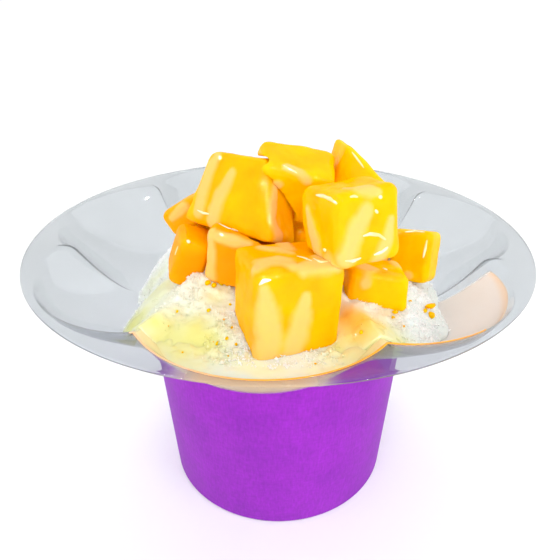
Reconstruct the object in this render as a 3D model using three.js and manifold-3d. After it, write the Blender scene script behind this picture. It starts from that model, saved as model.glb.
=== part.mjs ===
// Mango bingsu: shaved ice with cut mango and milk in a clear flower dish that stands on a paper cup.
// Millimetres, +Z up, origin at the centre of the cup's foot, front towards -Y.
import * as THREE from "three";
import { mergeVertices } from "three/addons/utils/BufferGeometryUtils.js";
import Module from "manifold-3d";

const wasm = await Module();
wasm.setup();

// Driving sizes of the cup
const CUP_HEIGHT = 72.8;
const CUP_FOOT_RADIUS = 41.4;
const CUP_MOUTH_RADIUS = 45.7;
const CUP_WALL = 1.2;
const CUP_FLOOR = 1.8;
const CUP_BEAD = 1.3;
const CUP_SIDES = 48;

// Driving sizes of the dish
const RIM_RADIUS = 82;
const RIM_HEIGHT = 95;
const DISH_WALL = 0.9;
const PETALS = 7;
const PETAL_TURN = -4.1;
const PETAL_ARC_RADIUS = 38.4;
const PETAL_ARC_CENTRE = 41;
const PETAL_START_RADIUS = 45.2;
const PETAL_START_HEIGHT = 74.2;
const WELL_FLOOR_RADIUS = 34;
const WELL_FLOOR_HEIGHT = 50;
const WELL_TOP_RADIUS = 43;
const RIM_CURL = 0.6;
const SIDES_PER_PETAL = 8;

// Driving sizes of what fills the dish
const GAP = 0.35;
const MILK_HEIGHT = 91;
const ICE_TOP = 95.5;
const ICE_RELIEF = 0.9;
const ICE_EDGE = 1.4;

// Colours and finishes
const PURPLE_PAPER = { color: "#a532d7", roughness: 0.6, metalness: 0 };
const CLEAR_PLASTIC = { color: "#dfe4e8", roughness: 0.06, metalness: 0, transparent: true, opacity: 0.35 };
const SHAVED_ICE = { color: "#f8f8ee", roughness: 0.75, metalness: 0 };
const MILK = { color: "#fbf3cd", roughness: 0.15, metalness: 0 };
const MANGO = { color: "#ffc800", roughness: 0.25, metalness: 0 };

const radians = THREE.MathUtils.degToRad;
const mix = THREE.MathUtils.lerp;
const clamp = THREE.MathUtils.clamp;

// Seeded random numbers from 0 to 1
function randomFrom(seed) {
  let state = seed * 2654435761 + 12345;
  return () => {
    state = (Math.imul(state ^ (state >>> 15), 2246822519) + 3266489917) >>> 0;
    return ((state ^ (state >>> 13)) >>> 0) / 4294967296;
  };
}

// Joining and cutting of closed geometries
function solidFrom(geometry) {
  const bare = geometry.clone();
  bare.deleteAttribute("normal");
  bare.deleteAttribute("uv");
  const merged = mergeVertices(bare, 1e-4);
  const vertProperties = new Float32Array(merged.attributes.position.array);
  const triVerts = new Uint32Array(merged.index.array);
  return new wasm.Manifold(new wasm.Mesh({ numProp: 3, vertProperties, triVerts }));
}

function geometryFrom(solid) {
  const mesh = solid.getMesh();
  const positions = new Float32Array(mesh.numVert * 3);
  for (let i = 0; i < mesh.numVert; i++) {
    positions.set(mesh.vertProperties.subarray(i * mesh.numProp, i * mesh.numProp + 3), i * 3);
  }
  const geometry = new THREE.BufferGeometry();
  geometry.setAttribute("position", new THREE.BufferAttribute(positions, 3));
  geometry.setIndex(new THREE.BufferAttribute(mesh.triVerts.slice(), 1));
  return geometry;
}

function largestBody(solid) {
  return solid.decompose().reduce((best, body) => (body.volume() > best.volume() ? body : best));
}

function meshOf(name, geometry, finish) {
  geometry.computeVertexNormals();
  const mesh = new THREE.Mesh(geometry, new THREE.MeshStandardMaterial(finish));
  mesh.name = name;
  return mesh;
}

// A closed body of rings round the axis, from its underside to its top. Each ring is a function of
// the bearing that gives [radius, height]. The first and last ring lie on the axis. Bearing 0 is
// the front.
function ringBody(rings, bearings) {
  const count = bearings.length;
  const positions = [];
  const faces = [];
  const point = ([radius, height], bearing) => positions.push(
    radius * Math.sin(bearing), -radius * Math.cos(bearing), height);
  point(rings[0](0), 0);
  rings.slice(1, -1).forEach((ring) => bearings.forEach((bearing) => point(ring(bearing), bearing)));
  point(rings.at(-1)(0), 0);
  const last = positions.length / 3 - 1;
  for (let j = 0; j < count; j++) {
    const next = (j + 1) % count;
    faces.push(0, 1 + next, 1 + j);
    for (let i = 0; i < rings.length - 3; i++) {
      const a = 1 + i * count;
      const b = a + count;
      faces.push(a + j, b + next, b + j, a + j, a + next, b + next);
    }
    const a = 1 + (rings.length - 3) * count;
    faces.push(a + j, a + next, last);
  }
  const geometry = new THREE.BufferGeometry();
  geometry.setAttribute("position", new THREE.Float32BufferAttribute(positions, 3));
  geometry.setIndex(faces);
  return geometry;
}

// A closed body between an upper and a lower surface, both functions of u and v from 0 to 1
function slabBody(upper, lower, stepsU, stepsV) {
  const positions = [];
  const faces = [];
  const at = (side, i, j) => (side * (stepsU + 1) + i) * (stepsV + 1) + j;
  [upper, lower].forEach((surface) => {
    for (let i = 0; i <= stepsU; i++) {
      for (let j = 0; j <= stepsV; j++) positions.push(...surface(i / stepsU, j / stepsV));
    }
  });
  const quad = (a, b, c, d) => faces.push(a, b, c, a, c, d);
  for (let i = 0; i < stepsU; i++) {
    for (let j = 0; j < stepsV; j++) {
      quad(at(0, i, j), at(0, i + 1, j), at(0, i + 1, j + 1), at(0, i, j + 1));
      quad(at(1, i, j), at(1, i, j + 1), at(1, i + 1, j + 1), at(1, i + 1, j));
    }
    quad(at(0, i, 0), at(1, i, 0), at(1, i + 1, 0), at(0, i + 1, 0));
    quad(at(0, i, stepsV), at(0, i + 1, stepsV), at(1, i + 1, stepsV), at(1, i, stepsV));
  }
  for (let j = 0; j < stepsV; j++) {
    quad(at(0, 0, j), at(0, 0, j + 1), at(1, 0, j + 1), at(1, 0, j));
    quad(at(0, stepsU, j), at(1, stepsU, j), at(1, stepsU, j + 1), at(0, stepsU, j + 1));
  }
  const geometry = new THREE.BufferGeometry();
  geometry.setAttribute("position", new THREE.Float32BufferAttribute(positions, 3));
  geometry.setIndex(faces);
  return geometry;
}

// Cup: a tapered paper wall with a flat foot and a rolled bead at the mouth
function cupGeometry() {
  const innerFoot = CUP_FOOT_RADIUS - CUP_WALL;
  const innerMouth = CUP_MOUTH_RADIUS - CUP_WALL;
  const profile = [
    [0, 0],
    [CUP_FOOT_RADIUS - 0.6, 0],
    [CUP_FOOT_RADIUS, 0.6],
    [CUP_MOUTH_RADIUS - 0.1, CUP_HEIGHT - 2 * CUP_BEAD],
    [CUP_MOUTH_RADIUS + CUP_BEAD * 0.8, CUP_HEIGHT - 1.5 * CUP_BEAD],
    [CUP_MOUTH_RADIUS + CUP_BEAD, CUP_HEIGHT - 0.7 * CUP_BEAD],
    [CUP_MOUTH_RADIUS + CUP_BEAD * 0.4, CUP_HEIGHT],
    [innerMouth + 0.2, CUP_HEIGHT],
    [innerMouth, CUP_HEIGHT - 0.5 * CUP_BEAD],
    [innerFoot, CUP_FLOOR],
    [0, CUP_FLOOR],
  ];
  const bearings = Array.from({ length: CUP_SIDES }, (_, i) => (i / CUP_SIDES) * 2 * Math.PI);
  return ringBody(profile.map((point) => () => point), bearings);
}

// How far a bearing is from the middle of its petal, in radians
function fromPetalMiddle(bearing) {
  const pitch = (2 * Math.PI) / PETALS;
  const turned = bearing - radians(PETAL_TURN);
  return turned - pitch * Math.round(turned / pitch);
}

// The petal's lip is a circular arc, so neighbours meet in a cusp
function lipRadius(bearing) {
  const off = fromPetalMiddle(bearing);
  const across = PETAL_ARC_CENTRE * Math.sin(off);
  return PETAL_ARC_CENTRE * Math.cos(off) + Math.sqrt(PETAL_ARC_RADIUS ** 2 - across ** 2);
}

// Height of the dish's upper surface, with t from 0 at the well's mouth to 1 at the petal's lip.
// The middle of a petal is scooped with a steep outer wall, and the ridge between two is a crest.
function petalHeight(t, bearing) {
  const w = Math.abs(fromPetalMiddle(bearing)) / (Math.PI / PETALS);
  const scoop = 0.74 * t ** 1.6 + 0.26 * t ** 14;
  const straight = 1.3 * t ** 1.85;
  const crest = straight < 0.9 ? straight : 1 - 0.1 * Math.exp((0.9 - straight) / 0.1);
  const rise = mix(scoop, Math.max(scoop, crest), w ** 2.2);
  return mix(PETAL_START_HEIGHT, RIM_HEIGHT, rise);
}

function petalPoint(t, bearing) {
  return [mix(PETAL_START_RADIUS, lipRadius(bearing), t), petalHeight(t, bearing)];
}

// Height of the dish's upper surface at a radius beyond the well
function dishHeight(radius, bearing) {
  const t = (radius - PETAL_START_RADIUS) / (lipRadius(bearing) - PETAL_START_RADIUS);
  return petalHeight(clamp(t, 0, 1), bearing);
}

// The well that nests in the cup, as [radius, height] from its floor to its mouth
const WELL_PROFILE = [
  [WELL_FLOOR_RADIUS, WELL_FLOOR_HEIGHT],
  [WELL_FLOOR_RADIUS + 3.2, WELL_FLOOR_HEIGHT + 1],
  [WELL_FLOOR_RADIUS + 4.4, WELL_FLOOR_HEIGHT + 3.4],
  [WELL_TOP_RADIUS, PETAL_START_HEIGHT - 2],
  [WELL_TOP_RADIUS + 0.7, PETAL_START_HEIGHT - 0.6],
];
const PETAL_STATIONS = [0, 0.18, 0.36, 0.52, 0.66, 0.78, 0.87, 0.93, 0.975, 1];

// Bearings that put a line of points on each ridge
const DISH_SIDES = PETALS * SIDES_PER_PETAL;
const DISH_BEARINGS = Array.from({ length: DISH_SIDES }, (_, i) =>
  radians(PETAL_TURN) + ((i - SIDES_PER_PETAL / 2) / DISH_SIDES) * 2 * Math.PI);

// The dish's upper surface as rings, then the same rings moved down by the wall along the normal
function dishGeometry() {
  const upper = [
    () => [0, WELL_FLOOR_HEIGHT],
    ...WELL_PROFILE.map((point) => () => point),
    ...PETAL_STATIONS.map((t) => (bearing) => petalPoint(t, bearing)),
    (bearing) => [mix(lipRadius(bearing), RIM_RADIUS, 0.4), RIM_HEIGHT],
    () => [RIM_RADIUS - 1, RIM_HEIGHT],
    () => [RIM_RADIUS, RIM_HEIGHT - RIM_CURL],
  ];
  const place = (ring, bearing) => {
    const [radius, height] = ring(bearing);
    return new THREE.Vector3(radius * Math.sin(bearing), -radius * Math.cos(bearing), height);
  };
  const step = (2 * Math.PI) / DISH_SIDES;
  const lowered = (i) => (bearing) => {
    const here = place(upper[i], bearing);
    if (i === 0) return [0, here.z - DISH_WALL];
    const outward = place(upper[Math.min(i + 1, upper.length - 1)], bearing)
      .sub(place(upper[i - 1], bearing));
    const round = place(upper[i], bearing + step).sub(place(upper[i], bearing - step));
    const normal = outward.cross(round).normalize();
    here.addScaledVector(normal, -DISH_WALL);
    return [here.x * Math.sin(bearing) - here.y * Math.cos(bearing), here.z];
  };
  const lower = upper.map((_, i) => lowered(i));
  return ringBody([...lower, ...upper.slice().reverse()], DISH_BEARINGS);
}

// How far the ice reaches at a bearing, as a share of the rim's radius. It comes up to the lip at
// the front, where it has slumped, and ends inside the petals elsewhere.
const ICE_REACH = [
  [-180, 0.58], [-95, 0.57], [-66, 0.6], [-44, 0.76], [-31, 0.835], [-20, 0.81], [0, 0.8],
  [14, 0.81], [23, 0.835], [36, 0.845], [47, 0.79], [66, 0.68], [95, 0.6], [180, 0.58],
];

function iceReach(bearing) {
  const degrees = THREE.MathUtils.radToDeg(Math.atan2(Math.sin(bearing), Math.cos(bearing)));
  const next = ICE_REACH.findIndex(([at]) => at >= degrees);
  const [a, from] = ICE_REACH[Math.max(next - 1, 0)];
  const [b, to] = ICE_REACH[Math.max(next, 1)];
  return RIM_RADIUS * mix(from, to, THREE.MathUtils.smoothstep(degrees, a, b));
}

// Soft lumps of packed snow, from waves in three directions
function lumps(x, y, z) {
  return 0.45 * Math.sin(0.42 * x + 0.31 * y + 1.1) * Math.sin(0.37 * y - 0.28 * z + 0.4)
    + 0.35 * Math.sin(0.83 * x - 0.52 * y + 2.3) * Math.sin(0.71 * y + 0.46 * x)
    + 0.2 * Math.sin(1.57 * x + 0.6 + 0.9 * y) * Math.sin(1.33 * y - 1.1 * x);
}

function inFrontPetal(bearing) {
  const pitch = (2 * Math.PI) / PETALS;
  const turned = Math.atan2(Math.sin(bearing), Math.cos(bearing)) - radians(PETAL_TURN);
  return Math.abs(turned) < pitch / 2;
}

// The ice's edge: a thin rim on the dish, or as deep as the milk that stands before it
function iceEdgeHeight(bearing) {
  const floor = dishHeight(iceReach(bearing), bearing) + ICE_EDGE;
  return inFrontPetal(bearing) ? Math.max(floor, MILK_HEIGHT + 0.4) : floor;
}

function iceHeight(radius, bearing) {
  const share = radius / iceReach(bearing);
  const edge = iceEdgeHeight(bearing);
  const relief = ICE_RELIEF * lumps(radius * Math.sin(bearing), -radius * Math.cos(bearing), edge);
  return mix(ICE_TOP, edge, share ** 4) + relief * Math.sin(Math.PI * clamp(share, 0, 1) ** 0.7);
}

// Shaved ice: fills the well and heaps up in the petals
function iceGeometry(grow = 0) {
  const field = [0, 0.25, 0.5, 0.75, 1];
  const crown = [1, 0.95, 0.89, 0.81, 0.73, 0.64, 0.54, 0.43, 0.3, 0.15];
  const under = (share) => (bearing) => {
    const radius = mix(PETAL_START_RADIUS, iceReach(bearing), share);
    return [radius, dishHeight(radius, bearing) + 3 * GAP];
  };
  const well = WELL_PROFILE.map(([radius, height]) => () => [radius - 2 * GAP, height + GAP]);
  return ringBody([
    () => [0, WELL_FLOOR_HEIGHT + GAP],
    ...well,
    ...field.map(under),
    ...crown.map((share) => (bearing) => {
      const radius = iceReach(bearing) * share;
      return [radius + grow * (share === 1), iceHeight(radius, bearing) + grow];
    }),
    () => [0, ICE_TOP + grow],
  ], DISH_BEARINGS);
}

// Milk that has run to the front petal, level at the top and bedded on the petal below
function milkGeometry() {
  const start = radians(-25.5);
  const end = radians(17.5);
  const wallRadius = (bearing) => {
    let low = iceReach(bearing);
    let high = lipRadius(bearing);
    for (let i = 0; i < 30; i++) {
      const middle = (low + high) / 2;
      if (dishHeight(middle, bearing) < MILK_HEIGHT - 1.2) low = middle;
      else high = middle;
    }
    return low;
  };
  const place = (radius, bearing, height) =>
    [radius * Math.sin(bearing), -radius * Math.cos(bearing), height];
  const surface = (height) => (u, v) => {
    const bearing = mix(start, end, v);
    const radius = mix(iceReach(bearing) + 2 * GAP, wallRadius(bearing), u);
    return place(radius, bearing, height(radius, bearing));
  };
  const upper = surface(() => MILK_HEIGHT);
  const lower = surface((radius, bearing) =>
    Math.min(dishHeight(radius, bearing) + 2.4 * GAP, MILK_HEIGHT - 0.3));
  return slabBody(upper, lower, 5, 18);
}

// Mango pieces. size is [width, depth, height], at is the middle, turn is [yaw, pitch, roll] in
// degrees, lean moves the top against the foot, taper narrows the top and round is the edge radius.
// Each later piece is cut back where it would meet an earlier one.
const MANGO_PIECES = [
  { name: "mango_front", size: [22.4, 21, 25.6], at: [2.2, -54.2, 99.2], turn: [19, -5, 4], round: 2.1 },
  { name: "mango_gloss", size: [18.4, 17, 18.6], at: [17.8, -49.3, 119.4], turn: [27, -8, -1], round: 2.7 },
  { name: "mango_left", size: [26, 13.6, 21.4], at: [-9.2, -27.4, 118.2], turn: [-38, -19, -2], taper: 0.27, round: 1.9 },
  { name: "mango_crown", size: [20.8, 15, 17], at: [3.4, -27.6, 121.4], turn: [-1, 19, 16], round: 2 },
  { name: "mango_low", size: [18.6, 17, 11.2], at: [27.2, -37.4, 95.3], turn: [2, -11, 8], round: 3.8 },
  { name: "mango_right", size: [13.4, 13.6, 16], at: [42.4, -19.8, 95.8], turn: [-30, -16, -8], taper: -0.12, round: 2 },
  { name: "mango_peak", size: [18, 14, 14], at: [22.4, -19.6, 118.2], turn: [10, -4, 44], lean: [-7, 0], round: 1.6 },
  { name: "mango_cheek", size: [11.8, 15, 17.5], at: [-25.5, -31.6, 101.4], turn: [8, 4, 20], round: 5.2 },
  { name: "mango_behind", size: [17, 15, 15], at: [-10, -35.2, 104.2], turn: [-20, -4, 4], round: 2 },
  { name: "mango_shade", size: [14, 12, 9.5], at: [-17, -21.6, 106.8], turn: [-6, 2, 12], round: 2 },
  { name: "mango_point", size: [18.6, 14, 8.4], at: [-24.4, -13, 109.4], turn: [-16, -4, -34], round: 1.5 },
  { name: "mango_core", size: [17, 16, 17], at: [9.4, -20.5, 100.5], turn: [22, 3, 2], round: 2.4 },
  { name: "mango_back_right", size: [17, 14, 17], at: [27, -15, 100.5], turn: [-14, 5, -4], round: 2.6 },
  { name: "mango_back_left", size: [17, 16, 16], at: [-12, -14, 99.5], turn: [36, 2, 5], round: 2.4 },
  { name: "mango_back", size: [18, 15, 16], at: [1, 2.5, 98.5], turn: [-9, -6, 3], round: 3 },
  { name: "mango_back_low", size: [15, 16, 14], at: [20.5, 4.5, 97], turn: [31, -4, -6], round: 2.4 },
  { name: "mango_back_side", size: [14, 16, 13], at: [-21.5, 4, 95.5], turn: [-20, 6, 4], round: 2.6 },
  { name: "mango_back_far", size: [17, 15, 14], at: [-7, 20.5, 96], turn: [17, -8, 3], round: 2.2 },
  { name: "mango_back_edge", size: [15, 16, 13], at: [13, 22.5, 94.5], turn: [-24, -5, 6], round: 2.4 },
  { name: "mango_back_top", size: [17, 14, 14], at: [5.5, -5.5, 114.6], turn: [48, 10, 8], round: 2.4 },
];
const MANGO_STATIONS = [-1, -0.78, 0.78, 1];
const MANGO_BOW = 0.5;
const MANGO_UNEVEN = 0.6;

function mangoGeometry(piece, seed, grow = 0) {
  const half = new THREE.Vector3(...piece.size).multiplyScalar(0.5);
  const round = piece.round;
  const random = randomFrom(seed);
  const corners = Array.from({ length: 8 }, () =>
    new THREE.Vector3(random() - 0.5, random() - 0.5, random() - 0.5).multiplyScalar(2 * MANGO_UNEVEN));
  const steps = MANGO_STATIONS.length - 1;
  const geometry = new THREE.BoxGeometry(2, 2, 2, steps, steps, steps);
  const position = geometry.attributes.position;
  const [leanX, leanY] = piece.lean ?? [0, 0];
  const taper = piece.taper ?? 0;
  for (let i = 0; i < position.count; i++) {
    const unit = new THREE.Vector3().fromBufferAttribute(position, i);
    const axes = ["x", "y", "z"];
    axes.forEach((axis) => (unit[axis] = MANGO_STATIONS[Math.round(((unit[axis] + 1) * steps) / 2)]));
    const flat = unit.clone().multiply(half);
    const core = flat.clone();
    axes.forEach((axis) => (core[axis] = clamp(flat[axis], round - half[axis], half[axis] - round)));
    const out = flat.clone().sub(core);
    const point = core.add(out.lengthSq() > 0 ? out.setLength(round) : out);
    axes.forEach((axis, k) => {
      const other = axes[(k + 1) % 3];
      const third = axes[(k + 2) % 3];
      const swell = (1 - unit[other] ** 2) * (1 - unit[third] ** 2) * MANGO_BOW;
      point[axis] += Math.abs(unit[axis]) === 1 ? Math.sign(unit[axis]) * swell : 0;
    });
    corners.forEach((corner, k) => {
      const signs = [k & 1 ? 1 : -1, k & 2 ? 1 : -1, k & 4 ? 1 : -1];
      const weight = axes.reduce((w, axis, n) => w * (0.5 + 0.5 * signs[n] * unit[axis]), 1);
      point.addScaledVector(corner, weight);
    });
    point.x = point.x * (1 - taper * unit.z) + (leanX * unit.z) / 2;
    point.y += (leanY * unit.z) / 2;
    axes.forEach((axis) => (point[axis] *= 1 + grow / half[axis]));
    position.setXYZ(i, point.x, point.y, point.z);
  }
  const [yaw, pitch, roll] = piece.turn.map(radians);
  const turn = new THREE.Matrix4().makeRotationZ(yaw)
    .multiply(new THREE.Matrix4().makeRotationX(pitch))
    .multiply(new THREE.Matrix4().makeRotationY(roll));
  return geometry.applyMatrix4(turn.setPosition(...piece.at));
}

// Assembly
const bingsu = new THREE.Group();
bingsu.add(meshOf("cup", cupGeometry(), PURPLE_PAPER));
bingsu.add(meshOf("dish", dishGeometry(), CLEAR_PLASTIC));

// What lies in the dish is cut back to a thin gap over the dish's own surface
const bedding = solidFrom(dishGeometry().translate(0, 0, GAP));
const pile = new THREE.Group();
let ice = solidFrom(iceGeometry()).subtract(bedding);
let milk = solidFrom(milkGeometry()).subtract(bedding).subtract(solidFrom(iceGeometry(GAP)));
const placed = [];
MANGO_PIECES.forEach((piece, i) => {
  const cut = placed.reduce((rest, other) => rest.subtract(other), solidFrom(mangoGeometry(piece, i + 1)));
  pile.add(meshOf(piece.name, geometryFrom(largestBody(cut)), MANGO));
  const room = solidFrom(mangoGeometry(piece, i + 1, GAP));
  placed.push(room);
  ice = ice.subtract(room);
  milk = milk.subtract(room);
});
bingsu.add(pile);
bingsu.add(meshOf("ice", geometryFrom(largestBody(ice)), SHAVED_ICE));
bingsu.add(meshOf("milk", geometryFrom(largestBody(milk)), MILK));

export default bingsu;
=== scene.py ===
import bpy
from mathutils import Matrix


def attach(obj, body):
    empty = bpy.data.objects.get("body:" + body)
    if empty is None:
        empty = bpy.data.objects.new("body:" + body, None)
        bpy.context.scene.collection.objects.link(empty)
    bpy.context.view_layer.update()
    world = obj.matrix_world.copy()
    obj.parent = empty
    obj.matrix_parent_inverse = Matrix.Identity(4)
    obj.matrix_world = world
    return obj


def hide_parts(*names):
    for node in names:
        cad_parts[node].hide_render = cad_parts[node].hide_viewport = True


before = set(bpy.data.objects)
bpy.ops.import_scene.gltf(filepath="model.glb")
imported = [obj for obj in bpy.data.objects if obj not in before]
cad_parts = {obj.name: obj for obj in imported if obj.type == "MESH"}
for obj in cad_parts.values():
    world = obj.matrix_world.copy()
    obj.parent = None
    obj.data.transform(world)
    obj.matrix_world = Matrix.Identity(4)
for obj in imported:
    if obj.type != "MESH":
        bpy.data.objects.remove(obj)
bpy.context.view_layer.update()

import math

import bmesh
import bpy
import numpy as np
from mathutils import Vector
from mathutils.bvhtree import BVHTree

# Mango bingsu in a clear flower dish on a paper cup. Sizes are in millimetres until a mesh is made.
# Bearings go round the upright axis from the front, -Y, towards +X.
MM = 0.001
SEED = 7

# The photograph's camera, in millimetres and degrees, and the photograph's width in pixels
CAMERA_PLACE = (0.6, -176.1, 172.0)
CAMERA_PITCH = 28.57
LENS = 36.0
SENSOR = 36.0
PHOTO_SIZE = 560

# The studio, in metres and watts. Each lamp has a place, a size and a power, and is either
# mirrored as a glint or lights without a glint.
FLOOR_SPAN = 60.0
FLOOR_DROP = 0.0002
LAMP_AIM = (0, 0, 0.09)
LAMPS = {
    "key": ((-0.25, -0.9, 0.42), 0.8, 3.6, False),
    "fill": ((0.7, -0.6, 0.4), 0.8, 3.0, False),
    "sparkle_above": ((0.05, -0.42, 0.85), 0.1, 14.0, True),
    "sparkle_left": ((-0.45, -0.4, 0.7), 0.1, 12.0, True),
    "sparkle_right": ((0.4, -0.5, 0.65), 0.08, 8.0, True),
    "sparkle_front": ((-0.1, -0.75, 0.5), 0.08, 8.0, True),
}
SKY_STRENGTH = 1.1
SKY_MIRRORED = 0.85

# Cup
CUP_HEIGHT = 72.8
CUP_SIDES = 192
CUP_FOOT_RADIUS = 41.4
CUP_FOOT_ROUND = 0.6
CUP_MOUTH_RADIUS = 45.7
CUP_WALL = 1.2
CUP_FLOOR = 1.8
CUP_BEAD = 1.3

# Dish
RIM_RADIUS = 82.0
RIM_HEIGHT = 95.0
DISH_WALL = 0.3
PETALS = 7
PETAL_TURN = -4.1
PETAL_ARC_RADIUS = 38.4
PETAL_ARC_CENTRE = 41.0
PETAL_START_RADIUS = 45.2
PETAL_START_HEIGHT = 74.2
WELL_FLOOR_RADIUS = 34.0
WELL_FLOOR_HEIGHT = 50.0
WELL_TOP_RADIUS = 43.0
WELL_ROUND = 4.4
DISH_ROWS = 73
PETAL_COLUMNS = 78
RIDGE_CROWDING = 0.75
SOFTENING = 3
# Width of the painted shade along a crease, in millimetres
CREASE_SHADE_WIDTH = 0.28

# A petal's profile from the well to the lip: a wide scoop and a steep turn upwards at the lip.
# A ridge's profile climbs sooner, and levels off for the last tenth.
SCOOP_SHARE = 0.74
SCOOP_CURVE = 1.6
LIP_SHARE = 0.26
LIP_CURVE = 14
RIDGE_SLOPE = 1.3
RIDGE_CURVE = 1.85
RIDGE_LEVELS_AT = 0.9
RIDGE_LEVELLING = 0.1
RIDGE_SHARPNESS = 2.2

# What fills the dish. Contents reach a little into the dish's wall, so no air shows between.
BEDDED = 0.15
MILK_HEIGHT = 91.0
MILK_DEGREES = (-27.0, 19.0)
MENISCUS_HEIGHT = 0.4
MENISCUS_WIDTH = 0.6
ICE_TOP = 95.5
ICE_RELIEF = 0.9
ICE_EDGE = 1.4
ICE_OVER_MILK = 0.4
ICE_SIDES = 560
ICE_ROWS = 140

# The ice's reach by bearing in degrees, as a share of the rim's radius
ICE_REACH = [
    (-180, 0.58), (-95, 0.57), (-66, 0.6), (-44, 0.76), (-31, 0.835), (-20, 0.81), (0, 0.8),
    (14, 0.81), (23, 0.835), (36, 0.845), (47, 0.79), (66, 0.68), (95, 0.6), (180, 0.58),
]

# Loose crystals of ice, and a height above the ice, from which plumb lines are dropped
FLAKES = 22000
TRIES_PER_FLAKE = 3
CLEAR_HEIGHT = 130.0

# Places on the ice, each by a pixel of the photograph, then a radius in millimetres and a strength
LEMON_SYRUP = {
    "below the cheek": (160, 289, 6, 0.6), "left shoulder": (165, 302, 5, 0.35),
    "left corner": (148, 326, 7, 0.8), "left hollow": (134, 324, 6, 0.8),
    "middle left": (190, 327, 7, 0.55), "low left": (186, 343, 7, 0.95),
    "low middle": (201, 354, 7, 0.8), "beside the front piece": (206, 326, 4, 0.4),
    "below the dark piece": (218, 297, 5, 0.6), "left edge": (139, 306, 6, 0.3),
    "left crest": (154, 279, 6, 0.3),
    "right pool": (374, 346, 7, 1.0), "right pool's start": (350, 350, 7, 0.8),
    "right shallows": (392, 338, 6, 0.5),
}
PEACH_SYRUP = {
    "below the low piece": (362, 318, 5, 0.9), "beside the front piece": (346, 320, 5, 0.8),
    "right of the drip": (386, 314, 3, 0.5), "behind the front piece": (228, 282, 4, 0.6),
    "above the right pool": (350, 334, 5, 0.35), "below the cheek": (191, 289, 5, 0.16),
}
DRY_ICE = {
    "clump below the cheek": (193, 289, 4, 1.0), "trail": (184, 302, 4, 0.8),
    "trail's end": (172, 326, 4, 0.8), "left edge": (141, 300, 4, 0.8),
    "left of the front piece": (222, 338, 5, 1.0), "foot of the front piece": (213, 350, 4, 0.9),
    "side of the front piece": (227, 326, 4, 0.9), "right slope": (405, 325, 7, 1.0),
    "right edge": (424, 328, 6, 1.0), "right crest": (414, 298, 6, 0.9),
    "small clump": (359, 331, 2.5, 0.9), "front foot": (332, 352, 4, 0.9),
    "left foot": (222, 356, 4, 0.9), "left foot, outer": (240, 362, 4, 0.8),
    "right foot": (316, 357, 3, 0.8), "low trail": (176, 340, 3, 0.6),
}

# Mounds of snow, each by a pixel, then a radius and a height in millimetres
ICE_MOUNDS = {
    "below the cheek": (196, 287, 5, 3.0), "below the dark piece": (222, 288, 6, 2.5),
    "right crest": (415, 296, 6, 1.5),
}

# Crumbs of mango on the ice: a pixel of the photograph and a size in millimetres
CRUMBS = {
    "corner piece, top": (429, 308, 3.0), "corner piece, foot": (431, 316, 2.2),
    "corner piece, left": (425, 312, 1.8), "speck on the pool": (361, 333, 1.5),
    "speck left of the front piece": (209, 311, 1.3), "speck two": (224, 320, 0.9),
    "speck three": (227, 339, 1.1), "speck four": (217, 344, 1.1), "speck five": (232, 328, 0.9),
    "speck six": (177, 312, 0.8), "speck seven": (393, 318, 1.2), "speck eight": (404, 327, 1.0),
    "speck nine": (410, 302, 1.0), "crust below the dark piece": (208, 284, 1.6),
    "crust two": (214, 286, 1.4), "crust three": (221, 284, 1.6), "crust four": (228, 285, 1.3),
    "speck ten": (230, 305, 0.8), "speck eleven": (395, 313, 1.4), "speck twelve": (236, 345, 0.9),
}
LOOSE_SPECKS = 8
CRUMB_RIPENESS = 0.15

# How fine the mango's mesh is, in millimetres
FLESH_VOXEL = 0.55

# How far the flesh is turned to a deeper orange, for most pieces and for those that differ
# Both ripeness and painted shade: each piece's depth is set to its tone as lit, deepest for pieces
# behind and below.
RIPENESS_AND_SHADE = 0.25
RIPER_AND_SHADED = {
    "mango_cheek": 0.7, "mango_behind": 0.85, "mango_shade": 0.9, "mango_point": 0.5,
    "mango_front": 0.4, "mango_left": 0.35, "mango_crown": 0.1, "mango_peak": 0.0,
    "mango_core": 0.0, "mango_right": 0.0, "mango_low": 0.1,
}

# Milk that has run over the mango: pixels of the photograph, each with the run's width in pixels
MILK_RUNS = {
    "left piece, edge": [(217, 157, 10), (209, 172, 13), (203, 190, 14), (199, 211, 13)],
    "left piece, middle": [(232, 173, 9), (221, 194, 14), (215, 211, 17), (213, 223, 14)],
    "left piece, side": [(278, 184, 9), (274, 197, 10), (272, 219, 10), (279, 237, 13), (288, 249, 15)],
    "crown's edge": [(287, 167, 9), (300, 173, 10), (308, 181, 9)],
    "glossy piece, top": [(345, 189, 7), (360, 189, 15), (370, 190, 15), (378, 192, 9)],
    "glossy piece, left": [(308, 209, 7), (313, 233, 13), (320, 257, 18)],
    "glossy piece, middle": [(365, 211, 16), (354, 233, 20), (347, 258, 22)],
    "glossy piece, right": [(391, 219, 8), (387, 240, 13), (378, 258, 15)],
    "low piece": [(367, 268, 18), (365, 284, 10)],
    "drip to the low piece": [(385, 259, 10), (398, 266, 11), (408, 276, 8)],
    "front piece, top left": [(258, 268, 16), (268, 262, 24), (282, 261, 24), (293, 267, 13)],
    "front piece, top right": [(302, 268, 16), (314, 264, 23), (326, 264, 22), (337, 267, 12)],
    "front piece, left": [(264, 289, 10), (267, 315, 23), (268, 345, 28), (267, 362, 25)],
    "front piece, right": [(306, 296, 8), (302, 315, 18), (295, 342, 24), (290, 358, 20)],
    "dark piece, edge": [(212, 232, 9), (211, 258, 10), (209, 276, 14)],
    "dark piece, top": [(213, 235, 11), (234, 241, 12), (249, 245, 8)],
    "behind the front piece": [(262, 248, 12), (277, 250, 15), (290, 253, 12)],
    "point": [(184, 207, 9), (172, 218, 6)],
}
STREAK_COVER = 0.92
STREAK_THICKNESS = 0.25
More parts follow.
